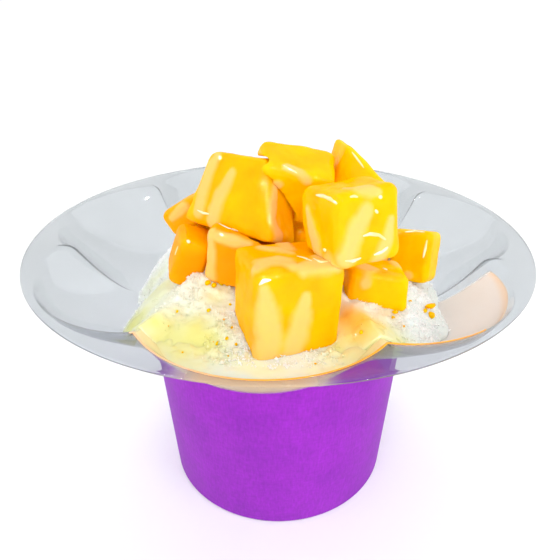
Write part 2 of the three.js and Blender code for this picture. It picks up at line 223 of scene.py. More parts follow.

# Beads of syrup on the mango: pixels of the photograph, then half the bead's width in millimetres
# The beads are painted pale, as highlights, and catch the sparkle lamps.
SYRUP_BEADS = {
    "glossy piece, top left": ([(316, 195), (323, 196), (330, 199), (337, 204)], 0.5),
    "glossy piece, top": ([(350, 197), (354, 196), (358, 197)], 0.4),
    "glossy piece, corner": ([(379, 196), (382, 198)], 0.45),
    "glossy piece, right": ([(375, 210), (378, 213)], 0.4),
    "glossy piece, ring's top": ([(363, 236), (370, 234), (379, 235), (386, 240)], 0.45),
    "glossy piece, ring's side": ([(388, 247), (382, 252), (374, 255)], 0.45),
    "glossy piece, foot": ([(313, 258), (321, 262), (330, 261)], 0.4),
    "glossy piece, foot right": ([(345, 261), (353, 261), (361, 258)], 0.4),
    "glossy piece, drop": ([(323, 249), (326, 251)], 0.5),
    "front piece, edge": ([(259, 285), (264, 281), (271, 280)], 0.4),
    "front piece, top": ([(297, 256), (305, 258), (312, 261)], 0.35),
    "left piece, line": ([(197, 210), (203, 213), (209, 214)], 0.35),
    "left piece, foot": ([(218, 223), (228, 228), (238, 231)], 0.3),
    "low piece, foot": ([(349, 303), (360, 306), (372, 307), (382, 306)], 0.4),
    "low piece, top": ([(383, 268), (387, 270)], 0.45),
    "right piece, edge": ([(405, 232), (415, 231), (425, 232)], 0.35),
    "right piece, side": ([(427, 240), (425, 250), (423, 258)], 0.35),
    "cheek, drop": ([(187, 240), (190, 243)], 0.5),
    "cheek, side": ([(178, 246), (175, 255)], 0.35),
    "peak, line": ([(352, 152), (358, 160), (364, 168)], 0.3),
    "crown, edge": ([(283, 165), (290, 169), (297, 173)], 0.3),
}
BEAD_STEPS = 14
BEAD_FLATNESS = 0.6
TUBE_SIDES = 10


# Numbers


def mix(a, b, share):
    return a + (b - a) * share


def smooth_step(low, high, value):
    share = np.clip((value - low) / (high - low), 0, 1)
    return share * share * (3 - 2 * share)


def value_noise(points, cell, seed):
    """Smooth noise from -1 to 1 at points in millimetres, with a lattice of that cell size."""
    side = 32
    lattice = np.random.default_rng(seed).uniform(-1, 1, (side, side, side))
    scaled = np.asarray(points) / cell
    base = np.floor(scaled).astype(int)
    part = scaled - base
    part = part * part * (3 - 2 * part)
    total = np.zeros(len(scaled))
    for corner in np.ndindex(2, 2, 2):
        weight = np.prod(np.where(corner, part, 1 - part), axis=1)
        total += weight * lattice[tuple(((base + corner) % side).T)]
    return total


def polar(radius, bearing, height):
    """Points at a radius, bearing and height."""
    return np.stack(np.broadcast_arrays(
        radius * np.sin(bearing), -radius * np.cos(bearing), height), axis=-1)


def full_turn(count):
    return np.linspace(0, 2 * np.pi, count, endpoint=False)


def radius_of(points):
    return np.linalg.norm(points[:, :2], axis=1)


def bearing_of(points):
    return np.arctan2(points[:, 0], -points[:, 1])


def signed_degrees(bearing):
    return np.degrees(np.arctan2(np.sin(bearing), np.cos(bearing)))


def off_front_petal(bearing):
    """Degrees between a bearing and the middle of the front petal."""
    return np.abs(signed_degrees(bearing) - PETAL_TURN)


# The dish's form


def from_petal_middle(bearing):
    pitch = 2 * np.pi / PETALS
    turned = bearing - math.radians(PETAL_TURN)
    return turned - pitch * np.round(turned / pitch)


def lip_radius(bearing):
    """The petal's lip is a circular arc, so neighbours meet in a cusp."""
    off = from_petal_middle(bearing)
    across = PETAL_ARC_CENTRE * np.sin(off)
    return PETAL_ARC_CENTRE * np.cos(off) + np.sqrt(PETAL_ARC_RADIUS ** 2 - across ** 2)


def petal_height(t, bearing):
    """Height of the dish's upper surface, t from 0 at the well's mouth to 1 at the lip."""
    ridge = np.abs(from_petal_middle(bearing)) / (np.pi / PETALS)
    scoop = SCOOP_SHARE * t ** SCOOP_CURVE + LIP_SHARE * t ** LIP_CURVE
    climb = RIDGE_SLOPE * t ** RIDGE_CURVE
    levelled = 1 - RIDGE_LEVELLING * np.exp((RIDGE_LEVELS_AT - climb) / RIDGE_LEVELLING)
    crest = np.where(climb < RIDGE_LEVELS_AT, climb, levelled)
    share = mix(scoop, np.maximum(scoop, crest), np.clip(ridge, 0, 1) ** RIDGE_SHARPNESS)
    return mix(PETAL_START_HEIGHT, RIM_HEIGHT, share)


def dish_height(radius, bearing):
    t = (radius - PETAL_START_RADIUS) / (lip_radius(bearing) - PETAL_START_RADIUS)
    return petal_height(np.clip(t, 0, 1), bearing)


def dish_grid():
    """Radii and bearings beyond the well, with the heights there, softened as in thermoforming."""
    radii = np.linspace(PETAL_START_RADIUS, RIM_RADIUS - 1, DISH_ROWS)
    count = PETALS * PETAL_COLUMNS
    turns = np.arange(count) / PETAL_COLUMNS - 0.5
    turns += RIDGE_CROWDING * np.sin(2 * np.pi * turns) / (2 * np.pi)
    bearings = math.radians(PETAL_TURN) + turns * 2 * np.pi / PETALS
    heights = dish_height(radii[:, None], bearings[None])
    soft = heights.copy()
    for _ in range(SOFTENING):
        soft[1:-1] = (soft[:-2] + 2 * soft[1:-1] + soft[2:]) / 4
        soft = (np.roll(soft, 1, axis=1) + 2 * soft + np.roll(soft, -1, axis=1)) / 4
    share = smooth_step(PETAL_START_RADIUS + 1, PETAL_START_RADIUS + 8, radii)[:, None]
    return radii, bearings, mix(heights, soft, share)


GRID_RADII, GRID_BEARINGS, GRID_HEIGHTS = dish_grid()


def soft_height(radius, bearing):
    """Height of the softened dish, read between the points of its grid."""
    row = (radius - GRID_RADII[0]) / (GRID_RADII[1] - GRID_RADII[0])
    row = np.clip(row, 0, DISH_ROWS - 1.001)
    count = len(GRID_BEARINGS)
    turned = (bearing - GRID_BEARINGS[0]) % (2 * np.pi)
    known = np.append(GRID_BEARINGS - GRID_BEARINGS[0], 2 * np.pi)
    column = np.minimum(np.interp(turned, known, np.arange(count + 1)), count - 0.001)
    i, j = np.floor(row).astype(int), np.floor(column).astype(int)
    after = (j + 1) % count
    low = mix(GRID_HEIGHTS[i, j], GRID_HEIGHTS[i, after], column - j)
    high = mix(GRID_HEIGHTS[i + 1, j], GRID_HEIGHTS[i + 1, after], column - j)
    return mix(low, high, row - i)


def wall_radius(bearing, level):
    """Where a pool of that level meets the petal's wall."""
    low = np.full(np.shape(bearing), PETAL_START_RADIUS)
    high = lip_radius(bearing)
    for _ in range(30):
        middle = (low + high) / 2
        below = dish_height(middle, bearing) < level
        low = np.where(below, middle, low)
        high = np.where(below, high, middle)
    return low


# The ice's form


def ice_reach(bearing):
    degrees = signed_degrees(bearing)
    shares = np.full(np.shape(degrees), ICE_REACH[0][1])
    for (a, start), (b, end) in zip(ICE_REACH, ICE_REACH[1:]):
        shares = np.where(degrees >= a, mix(start, end, smooth_step(a, b, degrees)), shares)
    return RIM_RADIUS * shares


def lumps(x, y, z):
    """Soft lumps of packed snow, from waves in three directions."""
    return (0.45 * np.sin(0.42 * x + 0.31 * y + 1.1) * np.sin(0.37 * y - 0.28 * z + 0.4)
            + 0.35 * np.sin(0.83 * x - 0.52 * y + 2.3) * np.sin(0.71 * y + 0.46 * x)
            + 0.2 * np.sin(1.57 * x + 0.6 + 0.9 * y) * np.sin(1.33 * y - 1.1 * x))


def ice_edge_height(bearing):
    floor = dish_height(ice_reach(bearing), bearing) + ICE_EDGE
    in_front = off_front_petal(bearing) < 180 / PETALS
    return np.where(in_front, np.maximum(floor, MILK_HEIGHT + ICE_OVER_MILK), floor)


def ice_height(radius, bearing):
    share = radius / ice_reach(bearing)
    edge = ice_edge_height(bearing)
    relief = ICE_RELIEF * lumps(radius * np.sin(bearing), -radius * np.cos(bearing), edge)
    swell = np.sin(np.pi * np.clip(share, 0, 1) ** 0.7)
    return mix(ICE_TOP, edge, share ** 4) + relief * swell


# Meshes


def piece(name, points, faces, material, smooth=True):
    """A mesh piece from points in millimetres, riding on the part's one body."""
    mesh = bpy.data.meshes.new(name)
    mesh.from_pydata((np.asarray(points) * MM).tolist(), [], [[int(k) for k in f] for f in faces])
    return dress(name, mesh, material, smooth)


def dress(name, mesh, material, smooth=True):
    """Makes a mesh a piece of the visual, in one material."""
    mesh.materials.clear()
    mesh.materials.append(material)
    mesh.polygons.foreach_set("use_smooth", [smooth] * len(mesh.polygons))
    made = bpy.data.objects.new(name, mesh)
    bpy.context.scene.collection.objects.link(made)
    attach(made, "root")
    return made


def paint(made, name, values):
    """Stores one number for each vertex, for the material to read."""
    layer = made.data.attributes.new(name, "FLOAT", "POINT")
    layer.data.foreach_set("value", np.asarray(values, dtype=np.float32))


def points_of(mesh):
    flat = np.empty(len(mesh.vertices) * 3)
    mesh.vertices.foreach_get("co", flat)
    return flat.reshape(-1, 3) / MM


def normals_of(mesh):
    flat = np.empty(len(mesh.vertices) * 3)
    mesh.vertices.foreach_get("normal", flat)
    return flat.reshape(-1, 3)


def move_points(mesh, points):
    mesh.vertices.foreach_set("co", (points * MM).ravel())
    mesh.update()


def ring_body(rings, low, high):
    """Points and faces of a closed body from rings of points, underside first, and its poles."""
    rows, count = rings.shape[:2]
    points = np.concatenate([[low], rings.reshape(-1, 3), [high]])
    last = len(points) - 1
    faces = []
    for j in range(count):
        after = (j + 1) % count
        faces.append((0, 1 + after, 1 + j))
        for i in range(rows - 1):
            a = 1 + i * count
            b = a + count
            faces.append((a + j, a + after, b + after, b + j))
        a = 1 + (rows - 1) * count
        faces.append((a + j, a + after, last))
    return points, faces


def sheet_body(upper, lower):
    """Points and faces of a closed body between two grids of points of the same shape."""
    rows, columns = upper.shape[:2]
    points = np.concatenate([upper.reshape(-1, 3), lower.reshape(-1, 3)])
    below = rows * columns
    faces = []
    for i in range(rows - 1):
        for j in range(columns - 1):
            a = i * columns + j
            quad = (a, a + 1, a + columns + 1, a + columns)
            faces.append(quad[::-1])
            faces.append(tuple(k + below for k in quad))
    edge = list(range(columns))
    edge += [i * columns + columns - 1 for i in range(1, rows)]
    edge += [(rows - 1) * columns + j for j in range(columns - 2, -1, -1)]
    edge += [i * columns for i in range(rows - 2, 0, -1)]
    for a, b in zip(edge, edge[1:] + edge[:1]):
        faces.append((a, b, b + below, a + below))
    return points, faces


def tube_body(sections):
    """Points and faces of a tube through sections of points, closed by a face at each end."""
    rows, count = sections.shape[:2]
    faces = [tuple(range(count)), tuple(range((rows - 1) * count, rows * count))[::-1]]
    for i in range(rows - 1):
        for j in range(count):
            a, b = i * count + j, i * count + (j + 1) % count
            faces.append((a, a + count, b + count, b))
    return sections.reshape(-1, 3), faces


# Materials


def linear(hex_colour):
    """An sRGB hex colour as the linear numbers that a shader takes."""
    parts = [int(hex_colour[i:i + 2], 16) / 255 for i in (1, 3, 5)]
    return tuple(c / 12.92 if c <= 0.04045 else ((c + 0.055) / 1.055) ** 2.4 for c in parts) + (1,)


def add_node(tree, kind, inputs=None, **settings):
    """Adds a node, sets what it is told and links each input that is given a socket."""
    made = tree.nodes.new(kind)
    for name, value in settings.items():
        setattr(made, name, value)
    for name, value in (inputs or {}).items():
        if isinstance(value, bpy.types.NodeSocket):
            tree.links.new(value, made.inputs[name])
        else:
            made.inputs[name].default_value = value
    return made


def new_material(name):
    material = bpy.data.materials.new(name)
    material.use_nodes = True
    tree = material.node_tree
    tree.nodes.clear()
    return material, tree


def finish_material(tree, inputs):
    surface = add_node(tree, "ShaderNodeBsdfPrincipled", inputs)
    add_node(tree, "ShaderNodeOutputMaterial", {"Surface": surface.outputs[0]})


def ramp(tree, factor, stops):
    """Colours by position, as a list of (position, hex colour)."""
    made = add_node(tree, "ShaderNodeValToRGB", {"Fac": factor})
    elements = made.color_ramp.elements
    while len(elements) < len(stops):
        elements.new(0.5)
    for element, (position, colour) in zip(elements, stops):
        element.position = position
        element.color = linear(colour)
    return made.outputs["Color"]


def blend(tree, factor, a, b):
    """Colour a turning to colour b, each a socket or a linear colour."""
    return add_node(tree, "ShaderNodeMix", {"Factor": factor, "A": a, "B": b},
                    data_type="RGBA").outputs["Result"]


def scale_value(tree, value, low, high, to_low, to_high):
    return add_node(tree, "ShaderNodeMapRange", {
        "Value": value, "From Min": low, "From Max": high,
        "To Min": to_low, "To Max": to_high}).outputs[0]


def painted(tree, name):
    """The numbers that paint stored under a name."""
    return add_node(tree, "ShaderNodeAttribute", attribute_name=name).outputs["Fac"]


def object_noise(tree, size_mm, detail=3.0, roughness=0.5, stretch=(1.0, 1.0, 1.0)):
    """Noise whose cells are that many millimetres across, longer along an axis with less stretch."""
    place = add_node(tree, "ShaderNodeTexCoord").outputs["Object"]
    place = add_node(tree, "ShaderNodeMapping", {"Vector": place, "Scale": stretch}).outputs[0]
    return add_node(tree, "ShaderNodeTexNoise", {
        "Vector": place, "Scale": 1 / (size_mm * MM), "Detail": detail, "Roughness": roughness,
    }).outputs["Fac"]


def bump(tree, height, depth_mm, strength=1.0):
    return add_node(tree, "ShaderNodeBump", {
        "Height": height, "Distance": depth_mm * MM, "Strength": strength}).outputs["Normal"]


def printed_paper():
    """Paperboard, printed one colour: matt purple, with fine upright fibres and faint mottling."""
    material, tree = new_material("printed_paper")
    blotch = object_noise(tree, 16.0, 2.0)
    fibres = object_noise(tree, 0.7, 3.0, 0.6, (1.0, 1.0, 0.25))
    weave = object_noise(tree, 0.8, 2.0, 0.6, (0.3, 0.3, 1.0))
    colour = ramp(tree, blotch, [(0.3, "#800CA4"), (0.7, "#8C12AF")])
    dark = scale_value(tree, fibres, 0.3, 0.7, 0.86, 1.12)
    fine = scale_value(tree, weave, 0.3, 0.7, 0.93, 1.06)
    shade = add_node(tree, "ShaderNodeMath", {0: dark, 1: fine}, operation="MULTIPLY").outputs[0]
    colour = add_node(tree, "ShaderNodeVectorMath", {0: colour, "Scale": shade},
                      operation="SCALE").outputs[0]
    finish_material(tree, {
        "Base Color": colour, "Roughness": 0.6, "Specular IOR Level": 0.3,
        "Normal": bump(tree, fibres, 0.06, 0.35)})
    return material


def clear_plastic():
    """PET, thermoformed: clear with a cool grey cast, glossy, with painted shade in the creases of the
    wall, and painted pale peach on the front wall, a painted glow of the milk behind it and the lip's
    gold."""
    material, tree = new_material("clear_plastic")
    haze = ramp(tree, object_noise(tree, 26.0, 2.0), [(0.35, "#C4CACE"), (0.65, "#CAD0D4")])
    painted_crease_shade = painted(tree, "painted_crease_shade")
    painted_milk_glow = painted(tree, "painted_milk_glow")
    # Painted shade: dark grey along the ridges' crests and the front left lip, where the plastic bends.
    colour = blend(tree, painted_crease_shade, haze, linear("#464C52"))
    # Painted light: pale peach on the front wall for the milk seen through it and the gold line
    # mirrored.
    colour = blend(tree, painted_milk_glow, colour, linear("#C8B094"))
    cover = scale_value(tree, painted_crease_shade, 0.0, 1.0, 0.86, 1.0)
    finish_material(tree, {
        "Base Color": colour, "Roughness": 0.03, "IOR": 1.25,
        "Transmission Weight": scale_value(tree, painted_milk_glow, 0.0, 1.0, 1.0, 0.35), "Alpha": cover,
        "Normal": bump(tree, object_noise(tree, 14.0, 1.0), 0.05, 0.3)})
    return material


def snow_ice(name="snow_ice", white="#E3EAE7", soft=0.7, grain_depth=0.2):
    """Milk ice, shaved: bright and soft inside, grainy, smooth and yellow where syrup soaked in."""
    material, tree = new_material(name)
    lemon = painted(tree, "lemon")
    colour = ramp(tree, lemon, [(0.0, white), (0.35, "#E4E8CA"), (0.75, "#DEE0A0"),
                                (1.0, "#E0DF8C")])
    colour = blend(tree, painted(tree, "peach"), colour, linear("#F0CA58"))
    grain = object_noise(tree, 0.9, 3.0, 0.6)
    finish_material(tree, {
        "Base Color": colour, "Roughness": scale_value(tree, lemon, 0.2, 0.8, 0.6, 0.2),
        "IOR": 1.31, "Specular IOR Level": 0.4,
        "Subsurface Weight": soft, "Subsurface Radius": (1.0, 0.95, 0.85),
        "Subsurface Scale": 3.0 * MM, "Normal": bump(tree, grain, grain_depth, 0.6)})
    return material


def condensed_milk():
    """Sweetened milk, poured: white with a warm cast, wet and glossy."""
    material, tree = new_material("condensed_milk")
    cast = object_noise(tree, 10.0, 2.0)
    colour = ramp(tree, cast, [(0.4, "#DFE6DC"), (0.62, "#E6E8C4")])
    colour = blend(tree, painted(tree, "lemon"), colour, linear("#E0DF94"))
    colour = blend(tree, painted(tree, "peach"), colour, linear("#F0CA58"))
    finish_material(tree, {
        "Base Color": colour, "Roughness": 0.1, "IOR": 1.35, "Subsurface Weight": 0.6,
        "Subsurface Radius": (1.0, 0.9, 0.7), "Subsurface Scale": 2 * MM,
        "Coat Weight": 0.5, "Coat Roughness": 0.03,
        "Normal": bump(tree, object_noise(tree, 5.0, 1.0), 0.25, 0.5)})
    return material


def thin_milk(name, middle, edge, cover):
    """Milk or melt, spread thin: a see-through film that is deeper in colour at its edge."""
    material, tree = new_material(name)
    colour = blend(tree, painted(tree, "edge"), linear(middle), linear(edge))
    alpha = scale_value(tree, painted(tree, "depth"), 0.0, 1.0, 0.0, cover)
    finish_material(tree, {
        "Base Color": colour, "Roughness": 0.2, "IOR": 1.35, "Alpha": alpha,
        "Normal": bump(tree, object_noise(tree, 6.0, 2.0), 0.1, 0.3)})
    return material


def mango_juice():
    """A painted refraction, standing as a thin line of juice: clear gold, paler peach towards the left.
    """
    material, tree = new_material("mango_juice")
    colour = ramp(tree, painted(tree, "refraction_gold"), [(0.0, "#F0BE96"), (1.0, "#F9A62C")])
    finish_material(tree, {
        "Base Color": colour, "Roughness": 0.08, "IOR": 1.36,
        "Subsurface Weight": 0.5, "Subsurface Radius": (1.0, 0.5, 0.1),
        "Subsurface Scale": 1 * MM})
    return material


def syrup_painted_pale():
    """Sugar syrup, standing in beads: painted paler than the fruit below, as a painted highlight along
    its glints.
    """
    material, tree = new_material("syrup_painted_pale")
    colour = ramp(tree, object_noise(tree, 4.0), [(0.4, "#FFE08C"), (0.6, "#FFF0C0")])
    finish_material(tree, {
        "Base Color": colour, "Roughness": 0.08, "IOR": 1.5, "Subsurface Weight": 0.2,
        "Subsurface Radius": (1.0, 0.6, 0.1), "Subsurface Scale": 2 * MM,
        "Coat Weight": 1.0, "Coat Roughness": 0.02, "Coat IOR": 1.7})
    return material


def mango_flesh():
    """Ripe mango, knife cut: deep yellow, juicy flesh, with milk run over it in soft streaks."""
    material, tree = new_material("mango_flesh")
    ripe_and_shaded = ramp(tree, object_noise(tree, 7.0, 3.0), [(0.3, "#FFB000"), (0.5, "#FFBC00"),
                                                     (0.7, "#FFC600")])
    # Painted shade as well as ripeness: a deeper orange for pieces that lie in shadow.
    ripe_and_shaded = blend(tree, painted(tree, "ripe_and_shade"), ripe_and_shaded, linear("#F89200"))
    colour = blend(tree, painted(tree, "milk"), ripe_and_shaded, linear("#F6C06C"))
    fibre = object_noise(tree, 1.6, 3.0, 0.6, (1.0, 1.0, 0.35))
    ripple = object_noise(tree, 3.5, 2.0)
    finish_material(tree, {
        "Base Color": colour, "Roughness": 0.35, "IOR": 1.38, "Specular IOR Level": 0.0,
        "Subsurface Weight": 0.55, "Subsurface Radius": (1.0, 0.45, 0.05),
        "Subsurface Scale": 4.5 * MM, "Coat Weight": 0.3, "Coat Roughness": 0.03, "Coat IOR": 1.4,
        "Normal": bump(tree, fibre, 0.22, 0.6), "Coat Normal": bump(tree, ripple, 0.6, 0.9)})
    return material


def floor_paint():
    """Matt white backdrop."""
    material, tree = new_material("floor_paint")
    finish_material(tree, {
        "Base Color": ramp(tree, object_noise(tree, 60.0), [(0.0, "#F4F4F4"), (1.0, "#F8F8F8")]),
        "Roughness": 1.0, "Specular IOR Level": 0.0})
    return material


PAPER = printed_paper()
PLASTIC = clear_plastic()
SNOW = snow_ice()
FLAKE = snow_ice("ice_crystals", white="#F4F5F5", soft=0.4, grain_depth=0.05)
MILK = condensed_milk()
PALE_FILM = thin_milk("thin_milk", middle="#F6EDE6", edge="#FBDCBC", cover=0.6)
LEMON_FILM = thin_milk("lemon_melt", middle="#E2DC94", edge="#E4DEA4", cover=0.9)
SAUCE_FILM = thin_milk("thin_sauce", middle="#EFE8B4", edge="#F2E0BE", cover=0.85)
LIP_REFRACTION = mango_juice()
PALE_SYRUP = syrup_painted_pale()
MANGO = mango_flesh()


# Camera, lights and floor


def make_camera():
    camera = bpy.data.cameras.new("camera")
    camera.lens = LENS
    camera.sensor_width = SENSOR
    camera.clip_start = 0.01
    camera.clip_end = 200
    holder = bpy.data.objects.new("camera", camera)
    holder.location = Vector(CAMERA_PLACE) * MM
    holder.rotation_euler = (math.radians(90 - CAMERA_PITCH), 0, 0)
    bpy.context.scene.collection.objects.link(holder)
    bpy.context.scene.camera = holder


def make_floor():
    mesh = bpy.data.meshes.new("floor")
    corners = [(-1, -1), (1, -1), (1, 1), (-1, 1)]
    mesh.from_pydata([(x * FLOOR_SPAN, y * FLOOR_SPAN, 0) for x, y in corners], [], [(0, 1, 2, 3)])
    mesh.materials.append(floor_paint())
    floor = bpy.data.objects.new("floor", mesh)
    floor.location.z = -FLOOR_DROP
    bpy.context.scene.collection.objects.link(floor)


def make_stage():
    make_camera()
    make_floor()
    for name, lamp in LAMPS.items():
        soft_light(name, *lamp)
    make_sky()
    bpy.context.scene.view_settings.view_transform = "Standard"


def make_sky():
    """An even white studio, which shines dimly where a wet surface mirrors it."""
    world = bpy.data.worlds.new("studio")
    world.use_nodes = True
    tree = world.node_tree
    mirrored = add_node(tree, "ShaderNodeLightPath").outputs["Is Glossy Ray"]
    sky = tree.nodes["Background"]
    sky.inputs["Color"].default_value = linear("#FFFFFF")
    strength = scale_value(tree, mirrored, 0.0, 1.0, SKY_STRENGTH, SKY_MIRRORED)
    tree.links.new(strength, sky.inputs["Strength"])
    bpy.context.scene.world = world


def soft_light(name, place, size, power, mirrored):
    """A round lamp aimed at the food. It is either mirrored as a glint or lights without a glint."""
    lamp = bpy.data.lights.new(name, "AREA")
    lamp.shape = "DISK"
    lamp.size = size
    lamp.energy = power
    holder = bpy.data.objects.new(name, lamp)
    holder.location = place
    holder.visible_glossy = mirrored
    holder.visible_diffuse = not mirrored
    holder.visible_transmission = False
    aim = Vector(LAMP_AIM) - holder.location
    holder.rotation_euler = aim.to_track_quat("-Z", "Y").to_euler()
    bpy.context.scene.collection.objects.link(holder)


# Places found by a ray


def sight_line(u, v):
    """The camera's place and the direction of a pixel of the photograph, in the part's frame."""
    focal = PHOTO_SIZE * LENS / SENSOR
    pitch = math.radians(CAMERA_PITCH)
    ahead = Vector((0, math.cos(pitch), -math.sin(pitch)))
    up = Vector((0, math.sin(pitch), math.cos(pitch)))
    half = PHOTO_SIZE / 2
    line = ahead + Vector((1, 0, 0)) * ((u - half) / focal) - up * ((v - half) / focal)
    return Vector(CAMERA_PLACE), line.normalized()


def seen_point(tree, u, v):
    """Where the sight line of a pixel meets a surface, in millimetres, or None."""
    hit = tree.ray_cast(*sight_line(u, v))
    return None if hit[0] is None else np.array(hit[0])


def point_below(tree, place):
    """Where a plumb line from above a place meets a surface, in millimetres, or None."""
    hit = tree.ray_cast(Vector((place[0], place[1], CLEAR_HEIGHT)), Vector((0, 0, -1)))
    return None if hit[0] is None else np.array(hit[0])


def tree_of(objects):
    """The surface of some pieces, in millimetres, for rays to meet."""
    points, faces = [], []
    for made in objects:
        offset = len(points)
        points += points_of(made.data).tolist()
        faces += [[k + offset for k in polygon.vertices] for polygon in made.data.polygons]
    return BVHTree.FromPolygons(points, faces)


def spots_on(tree, places):
    """Centres, radii and strengths of named places that a surface shows."""
    found = [(seen_point(tree, u, v), size, strength) for u, v, size, strength in places.values()]
    return [spot for spot in found if spot[0] is not None]


def near_spots(points, spots):
    """How much each point lies in the spots, from 0 to 1."""
    clear = np.ones(len(points))
    for centre, size, strength in spots:
        away = np.linalg.norm((points - centre) * (1, 1, 0.6), axis=1)
        clear *= 1 - strength * np.exp(-(away / size) ** 2)
    return 1 - clear


# Pieces


def make_cup():
    """The paper cup: a round foot, a tapered wall, a rolled bead, and the inside to its floor."""
    inner_foot = CUP_FOOT_RADIUS - CUP_WALL
    inner_mouth = CUP_MOUTH_RADIUS - CUP_WALL
    inside_top = CUP_HEIGHT - 0.6
    bead_height = CUP_HEIGHT - CUP_BEAD
    foot_round = [(CUP_FOOT_RADIUS - CUP_FOOT_ROUND + CUP_FOOT_ROUND * math.sin(a),
                   CUP_FOOT_ROUND - CUP_FOOT_ROUND * math.cos(a))
                  for a in np.linspace(0, math.pi / 2, 6)]
    wall = [(mix(CUP_FOOT_RADIUS, CUP_MOUTH_RADIUS, s),
             mix(CUP_FOOT_ROUND, CUP_HEIGHT - 2 * CUP_BEAD, s)) for s in np.linspace(0.03, 1, 40)]
    bead = [(CUP_MOUTH_RADIUS + CUP_BEAD * math.cos(a), bead_height + CUP_BEAD * math.sin(a))
            for a in np.linspace(-1.2, math.pi / 2 + 0.3, 18)]
    inside = [(mix(inner_mouth, inner_foot, s), mix(inside_top, CUP_FLOOR, s))
              for s in np.linspace(0, 1, 12)]
    profile = [(20, 0)] + foot_round + wall + bead + inside + [(20, CUP_FLOOR)]
    bearings = full_turn(CUP_SIDES)
    rings = np.array([polar(radius, bearings, height) for radius, height in profile])
    points, faces = ring_body(rings, (0, 0, 0), (0, 0, CUP_FLOOR))
    made = piece("paper_cup", points, faces, PAPER)
    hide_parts("cup")


def dish_rings():
    """The dish's upper surface as rings of points from the middle outwards."""
    well = [(8, WELL_FLOOR_HEIGHT), (WELL_FLOOR_RADIUS - 2, WELL_FLOOR_HEIGHT)]
    well += [(WELL_FLOOR_RADIUS + WELL_ROUND * math.sin(a),
              WELL_FLOOR_HEIGHT + WELL_ROUND * (1 - math.cos(a))) for a in np.linspace(0, 1.35, 7)]
    well += [(mix(WELL_FLOOR_RADIUS + WELL_ROUND, WELL_TOP_RADIUS, s),
              mix(WELL_FLOOR_HEIGHT + WELL_ROUND, PETAL_START_HEIGHT - 2, s))
             for s in np.linspace(0, 1, 5)]
    well += [(WELL_TOP_RADIUS + 0.7, PETAL_START_HEIGHT - 0.6)]
    rings = [polar(radius, GRID_BEARINGS, height) for radius, height in well]
    rings += [polar(radius, GRID_BEARINGS, row) for radius, row in zip(GRID_RADII, GRID_HEIGHTS)]
    rings.append(polar(RIM_RADIUS - 0.3, GRID_BEARINGS, RIM_HEIGHT - 0.12))
    rings.append(polar(RIM_RADIUS - 0.02, GRID_BEARINGS, RIM_HEIGHT - 0.5))
    return np.array(rings)


def make_dish():
    upper = dish_rings()
    outward = np.gradient(upper, axis=0)
    around = np.roll(upper, -1, axis=1) - np.roll(upper, 1, axis=1)
    normal = np.cross(outward, around)
    normal /= np.linalg.norm(normal, axis=2, keepdims=True)
    lower = upper - normal * DISH_WALL
    rings = np.concatenate([lower, upper[::-1]])
    points, faces = ring_body(rings, (0, 0, WELL_FLOOR_HEIGHT - DISH_WALL),
                              (0, 0, WELL_FLOOR_HEIGHT))
    made = piece("flower_dish", points, faces, PLASTIC)
    # Painted shade along the creases, and painted light on the front petal's outer wall
    paint(made, "painted_crease_shade", painted_crease_shade_at(points))
    paint(made, "painted_milk_glow", painted_milk_glow_at(points))
    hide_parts("dish")


def painted_milk_glow_at(points):
    """How much painted glow shows on the front petal's outer wall, for the milk behind it and the lip's
    gold.
    """
    off = off_front_petal(bearing_of(points))
    return smooth_step(62, 70, radius_of(points)) * (1 - smooth_step(7, 15, off))


def painted_crease_shade_at(points):
    """How strongly the painted shade of a crease shows: dark lines on the ridges' crests and the front
    left lip.
    """
    radius = radius_of(points)
    bearing = bearing_of(points)
    from_ridge = (math.pi / PETALS - np.abs(from_petal_middle(bearing))) * radius
    length = smooth_step(53, 69, radius) * (1 - smooth_step(71.5, 73.5, radius))
    degrees = signed_degrees(bearing)
    towards_back = smooth_step(110, 125, np.abs(degrees))
    ridge = np.exp(-(from_ridge / CREASE_SHADE_WIDTH) ** 2) * length * (1 - 0.65 * towards_back)
    from_lip = np.abs(radius - lip_radius(bearing))
    beside = smooth_step(-62, -52, degrees) * (1 - smooth_step(-31, -29, degrees))
    lip = 0.8 * np.exp(-(from_lip / CREASE_SHADE_WIDTH) ** 2) * beside
    return np.clip(ridge + lip, 0, 1) * (radius > PETAL_START_RADIUS)


def ice_rings(bearings, reach):
    """The ice's underside and then its bare top, from the edge inwards, and where the top starts."""
    rings = [polar(radius, bearings, height) for radius, height in (
        (12, WELL_FLOOR_HEIGHT - BEDDED), (WELL_FLOOR_RADIUS, WELL_FLOOR_HEIGHT - BEDDED),
        (WELL_FLOOR_RADIUS + WELL_ROUND + BEDDED, WELL_FLOOR_HEIGHT + WELL_ROUND),
        (WELL_TOP_RADIUS + BEDDED, PETAL_START_HEIGHT - 2))]
    for share in np.linspace(0, 1, 16):
        radius = mix(PETAL_START_RADIUS, reach, share)
        rings.append(polar(radius, bearings, soft_height(radius, bearings) - BEDDED))
    under = len(rings)
    for share in 1 - np.linspace(0, 0.985, ICE_ROWS):
        radius = reach * share
        height = ice_height(np.minimum(radius, ice_reach(bearings)), bearings)
        rings.append(polar(radius, bearings, height))
    return np.array(rings), under


def ragged_reach(bearings):
    """The ice's reach with the uneven edge of spooned snow."""
    ragged = value_noise(polar(30.0, bearings, 0.0), 3.5, SEED)
    ragged += 0.5 * value_noise(polar(30.0, bearings, 9.0), 1.2, SEED)
    return ice_reach(bearings) * (1 + 0.014 * ragged)


def bare_tree(rings):
    """The bare ice's surface, for sight lines to meet before the snow is roughened."""
    points, faces = ring_body(rings, (0, 0, WELL_FLOOR_HEIGHT), (0, 0, ICE_TOP))
    bare = piece("bare_ice", points, faces, SNOW)
    tree = tree_of([bare])
    bpy.data.objects.remove(bare)
    return tree


def raise_mounds(top, mounds):
    for centre, size, height in mounds:
        away = radius_of(top - centre)
        top[:, 2] += height * np.exp(-(away / size) ** 2)


